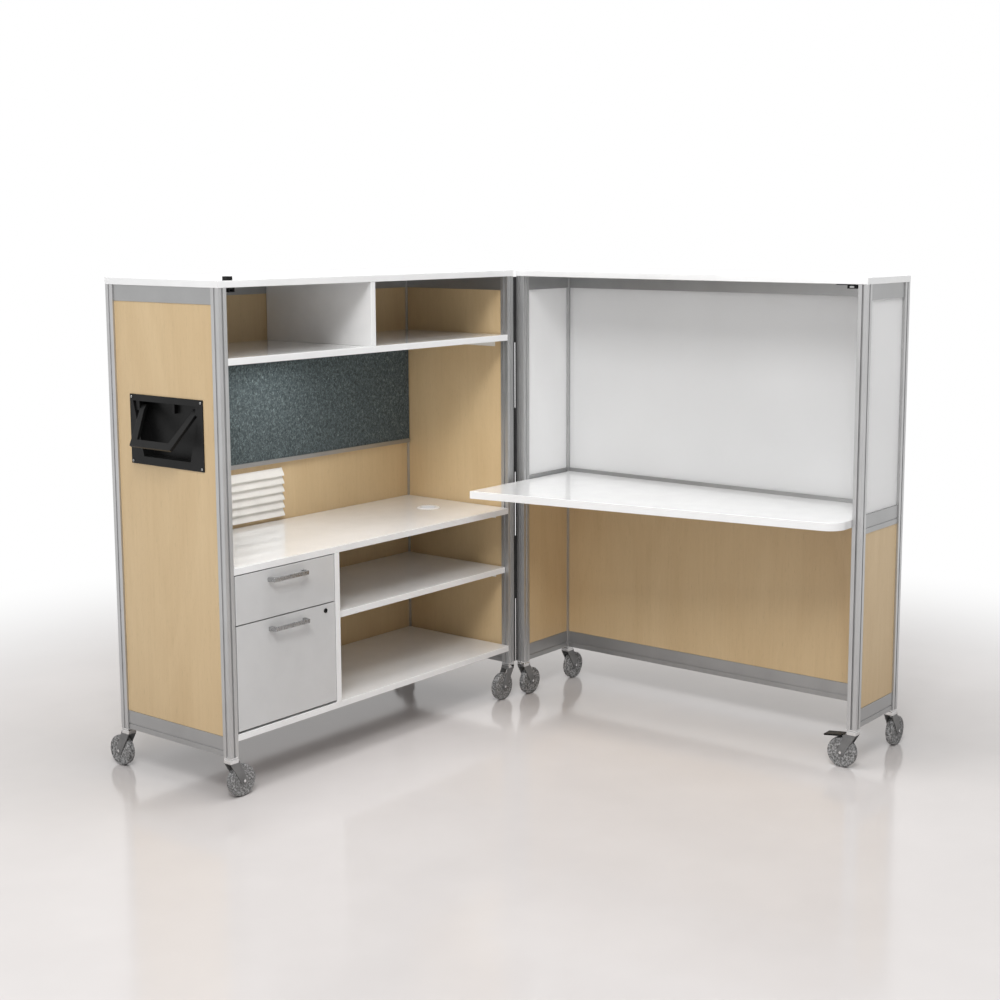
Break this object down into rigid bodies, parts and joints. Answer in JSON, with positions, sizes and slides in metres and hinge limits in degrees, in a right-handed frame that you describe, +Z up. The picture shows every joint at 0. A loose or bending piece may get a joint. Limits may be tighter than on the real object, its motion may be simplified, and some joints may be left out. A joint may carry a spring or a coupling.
{
  "type": "cubicle workstation",
  "caption": "Folding cubicle workstation on swivel casters: a storage cabinet with shelves and drawers, hinged to a desk cabinet with a slant-fronted worksurface.",
  "frame": {"origin": "middle of the whole box in plan, on the floor", "axes": "+Z up; the storage cabinet's open front faces -Y and the desk cabinet's open front faces -X"},
  "size_m": [1.741, 1.868, 1.503],
  "materials": {
    "aluminium": "satin anodised",
    "maple": "maple laminate",
    "white_laminate": "smooth white laminate",
    "white_screen": "translucent white sheet",
    "frosted_screen": "frosted grey sheet",
    "slate_fabric": "dark woven tackable fabric",
    "slat_metal": "satin pale grey",
    "black_plastic": "fine texture",
    "white_plastic": "satin",
    "black_steel": "satin black",
    "steel": "zinc plated",
    "grey_steel": "grey powder coat",
    "chrome": "bright",
    "pull_metal": "satin nickel",
    "wheel_rubber": "grey tread"
  },
  "bodies": {
    "storage": {"storage_posts": "aluminium", "storage_rails": "aluminium", "outer_end_panel": "maple", "hinge_end_panel": "maple", "storage_back_panels": "maple", "tackboard": "slate_fabric", "slat_tile": "slat_metal", "storage_top": "white_laminate", "overhead_shelf": "white_laminate", "overhead_divider": "white_laminate", "storage_worksurface": "white_laminate", "cable_grommet": "white_plastic", "middle_shelf": "white_laminate", "bottom_shelf": "white_laminate", "pedestal_sides": "white_laminate", "shelf_cleats": "steel", "drawer_runners": "steel", "handle_tray": "black_plastic", "hinge_leaf_storage": "black_steel", "hinge_pin": "steel", "latch_keeper": "black_plastic", "storage_caster_plates": "chrome"},
    "box_drawer": {"box_drawer_tray": "grey_steel", "box_drawer_front": "white_laminate", "box_drawer_pull": "pull_metal"},
    "file_drawer": {"file_drawer_tray": "grey_steel", "file_drawer_front": "white_laminate", "file_drawer_pull": "pull_metal"},
    "lock": {"drawer_lock": "black_steel"},
    "bail": {"bail_handle": "black_plastic"},
    "desk": {"desk_posts": "aluminium", "desk_rails": "aluminium", "desk_end_screens": "white_screen", "desk_back_screen": "frosted_screen", "desk_lower_panels": "maple", "desk_top": "white_laminate", "desk_worksurface": "white_laminate", "desk_cleats": "steel", "hinge_leaf_desk": "black_steel", "latch_housing": "black_plastic", "desk_caster_plates": "chrome"},
    "bolt": {"latch_bolt": "steel"},
    "storage_front_outer_swivel": {"storage_front_outer_fork": "grey_steel"},
    "storage_front_outer_roller": {"storage_front_outer_wheel": "wheel_rubber"},
    "storage_front_hinge_swivel": {"storage_front_hinge_fork": "grey_steel"},
    "storage_front_hinge_roller": {"storage_front_hinge_wheel": "wheel_rubber"},
    "storage_back_outer_swivel": {"storage_back_outer_fork": "grey_steel"},
    "storage_back_outer_roller": {"storage_back_outer_wheel": "wheel_rubber"},
    "storage_back_hinge_swivel": {"storage_back_hinge_fork": "grey_steel"},
    "storage_back_hinge_roller": {"storage_back_hinge_wheel": "wheel_rubber"},
    "desk_front_outer_swivel": {"desk_front_outer_fork": "grey_steel"},
    "desk_front_outer_roller": {"desk_front_outer_wheel": "wheel_rubber"},
    "brake": {"brake_pedal": "black_plastic"},
    "desk_front_hinge_swivel": {"desk_front_hinge_fork": "grey_steel"},
    "desk_front_hinge_roller": {"desk_front_hinge_wheel": "wheel_rubber"},
    "desk_back_outer_swivel": {"desk_back_outer_fork": "grey_steel"},
    "desk_back_outer_roller": {"desk_back_outer_wheel": "wheel_rubber"},
    "desk_back_hinge_swivel": {"desk_back_hinge_fork": "grey_steel"},
    "desk_back_hinge_roller": {"desk_back_hinge_wheel": "wheel_rubber"}
  },
  "joints": [
    {"name": "fold", "type": "hinge", "parent": "storage", "child": "desk", "pos_m": [0.50401, 0.3815, 0.7985], "axis": [0, 0, 1], "range_deg": [-90, 90]},
    {"name": "box_drawer_slide", "type": "slide", "parent": "storage", "child": "box_drawer", "axis": [0, -1, 0], "range_m": [0, 0.38]},
    {"name": "file_drawer_slide", "type": "slide", "parent": "storage", "child": "file_drawer", "axis": [0, -1, 0], "range_m": [0, 0.38]},
    {"name": "lock_turn", "type": "hinge", "parent": "file_drawer", "child": "lock", "pos_m": [-0.41999, 0.3755, 0.487], "axis": [0, -1, 0], "range_deg": [0, 90]},
    {"name": "bail_swing", "type": "hinge", "parent": "storage", "child": "bail", "pos_m": [-0.79299, 0.616, 1.116], "axis": [0, 1, 0], "range_deg": [-35, 50]},
    {"name": "latch_bolt_slide", "type": "slide", "parent": "desk", "child": "bolt", "axis": [-1, 0, 0], "range_m": [0, 0.022]},
    {"name": "storage_front_outer_swivel", "type": "hinge", "parent": "storage", "child": "storage_front_outer_swivel", "pos_m": [-0.79449, 0.391, 0.1197], "axis": [0, 0, 1], "continuous": true},
    {"name": "storage_front_outer_roll", "type": "hinge", "parent": "storage_front_outer_swivel", "child": "storage_front_outer_roller", "pos_m": [-0.75949, 0.391, 0.047], "axis": [0, 1, 0], "continuous": true},
    {"name": "storage_front_hinge_swivel", "type": "hinge", "parent": "storage", "child": "storage_front_hinge_swivel", "pos_m": [0.48251, 0.391, 0.1197], "axis": [0, 0, 1], "range_deg": [-90, 90]},
    {"name": "storage_front_hinge_roll", "type": "hinge", "parent": "storage_front_hinge_swivel", "child": "storage_front_hinge_roller", "pos_m": [0.44751, 0.391, 0.047], "axis": [0, -1, 0], "continuous": true},
    {"name": "storage_back_outer_swivel", "type": "hinge", "parent": "storage", "child": "storage_back_outer_swivel", "pos_m": [-0.79449, 0.852, 0.1197], "axis": [0, 0, 1], "continuous": true},
    {"name": "storage_back_outer_roll", "type": "hinge", "parent": "storage_back_outer_swivel", "child": "storage_back_outer_roller", "pos_m": [-0.79449, 0.887, 0.047], "axis": [-1, 0, 0], "continuous": true},
    {"name": "storage_back_hinge_swivel", "type": "hinge", "parent": "storage", "child": "storage_back_hinge_swivel", "pos_m": [0.48251, 0.852, 0.1197], "axis": [0, 0, 1], "continuous": true},
    {"name": "storage_back_hinge_roll", "type": "hinge", "parent": "storage_back_hinge_swivel", "child": "storage_back_hinge_roller", "pos_m": [0.48251, 0.887, 0.047], "axis": [-1, 0, 0], "continuous": true},
    {"name": "desk_front_outer_swivel", "type": "hinge", "parent": "desk", "child": "desk_front_outer_swivel", "pos_m": [0.53051, -0.917, 0.1197], "axis": [0, 0, -1], "continuous": true},
    {"name": "desk_front_outer_roll", "type": "hinge", "parent": "desk_front_outer_swivel", "child": "desk_front_outer_roller", "pos_m": [0.53051, -0.882, 0.047], "axis": [-1, 0, 0], "continuous": true},
    {"name": "brake_press", "type": "hinge", "parent": "desk_front_outer_swivel", "child": "brake", "pos_m": [0.53051, -0.893, 0.1], "axis": [-1, 0, 0], "range_deg": [0, 8]},
    {"name": "desk_front_hinge_swivel", "type": "hinge", "parent": "desk", "child": "desk_front_hinge_swivel", "pos_m": [0.53051, 0.36, 0.1197], "axis": [0, 0, -1], "range_deg": [-90, 90]},
    {"name": "desk_front_hinge_roll", "type": "hinge", "parent": "desk_front_hinge_swivel", "child": "desk_front_hinge_roller", "pos_m": [0.56551, 0.36, 0.047], "axis": [0, 1, 0], "continuous": true},
    {"name": "desk_back_outer_swivel", "type": "hinge", "parent": "desk", "child": "desk_back_outer_swivel", "pos_m": [0.78851, -0.917, 0.1197], "axis": [0, 0, -1], "continuous": true},
    {"name": "desk_back_outer_roll", "type": "hinge", "parent": "desk_back_outer_swivel", "child": "desk_back_outer_roller", "pos_m": [0.82351, -0.917, 0.047], "axis": [0, 1, 0], "continuous": true},
    {"name": "desk_back_hinge_swivel", "type": "hinge", "parent": "desk", "child": "desk_back_hinge_swivel", "pos_m": [0.78851, 0.36, 0.1197], "axis": [0, 0, -1], "continuous": true},
    {"name": "desk_back_hinge_roll", "type": "hinge", "parent": "desk_back_hinge_swivel", "child": "desk_back_hinge_roller", "pos_m": [0.82351, 0.36, 0.047], "axis": [0, 1, 0], "continuous": true}
  ]
}
